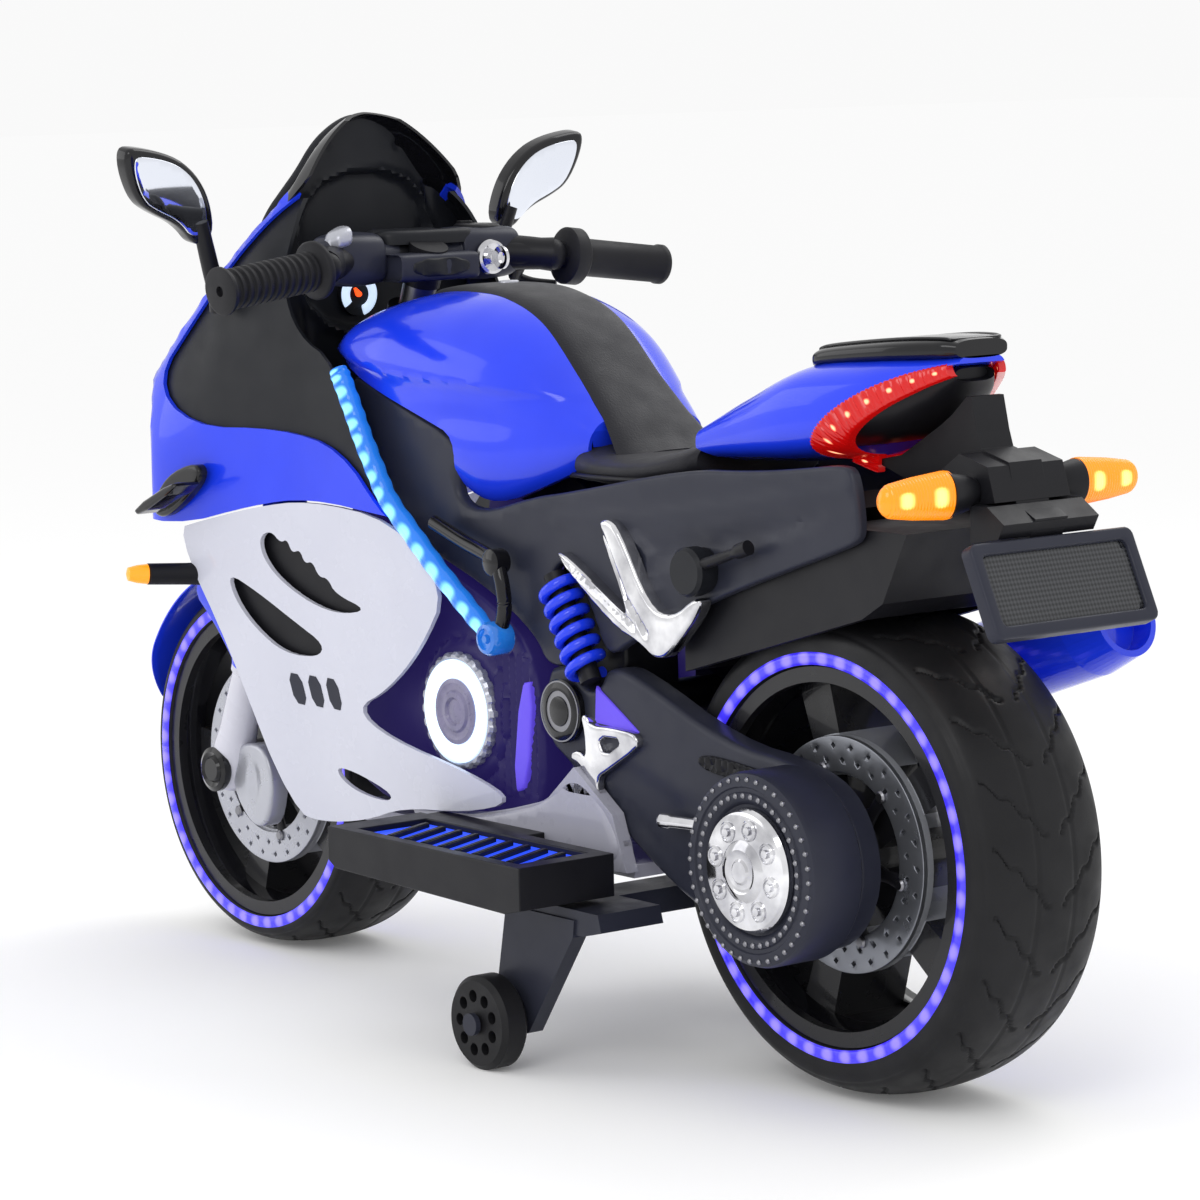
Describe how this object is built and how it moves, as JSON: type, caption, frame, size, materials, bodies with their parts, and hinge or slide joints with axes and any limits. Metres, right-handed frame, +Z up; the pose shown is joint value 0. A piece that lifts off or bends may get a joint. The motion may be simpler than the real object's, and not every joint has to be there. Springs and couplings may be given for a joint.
{
  "type": "ride-on toy motorcycle",
  "caption": "Child's battery ride-on motorcycle: faired body, raked steering, lamp-ringed road wheels and two stabiliser wheels, with twist grip, key and horn button.",
  "frame": {"origin": "on the ground under the middle of the overall box", "axes": "+X forward, +Y to the rider's left, +Z up"},
  "size_m": [1.1984, 0.49, 0.757],
  "materials": {
    "dark_steel": "satin powder coat",
    "battery_case": "fine texture",
    "black_plastic": "fine moulded grain",
    "dark_grey_plastic": "satin moulded grain",
    "satin_black": "satin",
    "steel": "zinc plated",
    "pearl_plastic": "pearl gloss",
    "blue_gloss": "deep gloss",
    "white_lamp": "frosted lens",
    "ice_lamp": "frosted tube",
    "violet_lamp": "frosted ring",
    "chrome_plating": "vacuum plated plastic",
    "screen_black": "gloss",
    "clear_lens": "clear",
    "seat_vinyl": "fine leather grain",
    "red_lens": "ribbed lens",
    "amber_lens": "prismatic lens",
    "plate_face": "woven texture",
    "silver_paint": "metallic paint",
    "grip_rubber": "matte",
    "tyre_rubber": "matte",
    "rim_black": "satin gloss"
  },
  "bodies": {
    "chassis": {"main_frame": "dark_steel", "battery_pack": "battery_case", "control_box": "black_plastic", "drive_motor": "steel", "gearbox": "dark_grey_plastic", "belly_pan": "pearl_plastic", "engine_block": "dark_grey_plastic", "engine_lamps": "white_lamp", "lamp_strips": "ice_lamp", "swingarm_left": "dark_grey_plastic", "swingarm_right": "dark_grey_plastic", "rear_axle": "steel", "hub_cover": "black_plastic", "hub_disc": "chrome_plating", "shock_springs": "blue_gloss", "footrest_hangers": "chrome_plating", "gear_lever": "chrome_plating", "footboard_left": "black_plastic", "footboard_right": "black_plastic", "stabiliser_bar": "dark_grey_plastic", "side_fairing_left": "pearl_plastic", "side_fairing_right": "pearl_plastic", "front_cowl": "blue_gloss", "inner_cowl": "satin_black", "gauge": "white_lamp", "windscreen": "screen_black", "headlamps": "clear_lens", "winglets": "satin_black", "front_indicators": "satin_black", "tank_cover": "blue_gloss", "tank_strip": "satin_black", "seat": "seat_vinyl", "side_cover_left": "dark_grey_plastic", "side_cover_right": "dark_grey_plastic", "tail_cowl": "blue_gloss", "tail_pad": "screen_black", "tail_lamps": "red_lens", "plate_bracket": "black_plastic", "number_plate": "plate_face", "rear_indicators": "amber_lens", "rear_mudguard": "satin_black", "muffler": "blue_gloss", "mirrors": "screen_black"},
    "steering": {"steering_stem": "steel", "fork_legs": "silver_paint", "front_fender": "blue_gloss", "handlebar": "dark_steel", "dash_pod": "dark_grey_plastic", "grip_left": "grip_rubber"},
    "front_wheel": {"front_tyre": "tyre_rubber", "front_rim": "rim_black", "front_lamp_rings": "violet_lamp"},
    "rear_wheel": {"rear_tyre": "tyre_rubber", "rear_rim": "rim_black", "rear_lamp_rings": "violet_lamp"},
    "stabiliser_wheel_left": {"stabiliser_wheel_left": "tyre_rubber"},
    "stabiliser_wheel_right": {"stabiliser_wheel_right": "tyre_rubber"},
    "throttle": {"throttle_grip": "grip_rubber"},
    "key": {"key": "steel"},
    "horn_button": {"horn_button": "black_plastic"}
  },
  "joints": [
    {"name": "steering_turn", "type": "hinge", "parent": "chassis", "child": "steering", "pos_m": [0.40182, 0, 0.15763], "axis": [-0.3746, 0, 0.9272], "range_deg": [-20, 20]},
    {"name": "front_wheel_spin", "type": "hinge", "parent": "steering", "child": "front_wheel", "pos_m": [0.425, 0, 0.167], "axis": [0, 1, 0], "continuous": true},
    {"name": "rear_wheel_spin", "type": "hinge", "parent": "chassis", "child": "rear_wheel", "pos_m": [-0.379, 0, 0.19], "axis": [0, 1, 0], "continuous": true},
    {"name": "stabiliser_spin_left", "type": "hinge", "parent": "chassis", "child": "stabiliser_wheel_left", "pos_m": [-0.111, 0.187, 0.038], "axis": [0, 1, 0], "continuous": true},
    {"name": "stabiliser_spin_right", "type": "hinge", "parent": "chassis", "child": "stabiliser_wheel_right", "pos_m": [-0.111, -0.187, 0.038], "axis": [0, 1, 0], "continuous": true},
    {"name": "throttle_twist", "type": "hinge", "parent": "steering", "child": "throttle", "pos_m": [0.188, -0.12, 0.626], "axis": [-0.0781, -0.9895, -0.1215], "range_deg": [0, 35], "stiffness_Nm_per_rad": 0.3},
    {"name": "key_turn", "type": "hinge", "parent": "steering", "child": "key", "pos_m": [0.209, -0.064, 0.626], "axis": [1, 0, 0], "range_deg": [0, 90]},
    {"name": "horn_press", "type": "slide", "parent": "steering", "child": "horn_button", "axis": [0, 0, -1], "range_m": [0, 0.0025], "stiffness_N_per_m": 400}
  ]
}
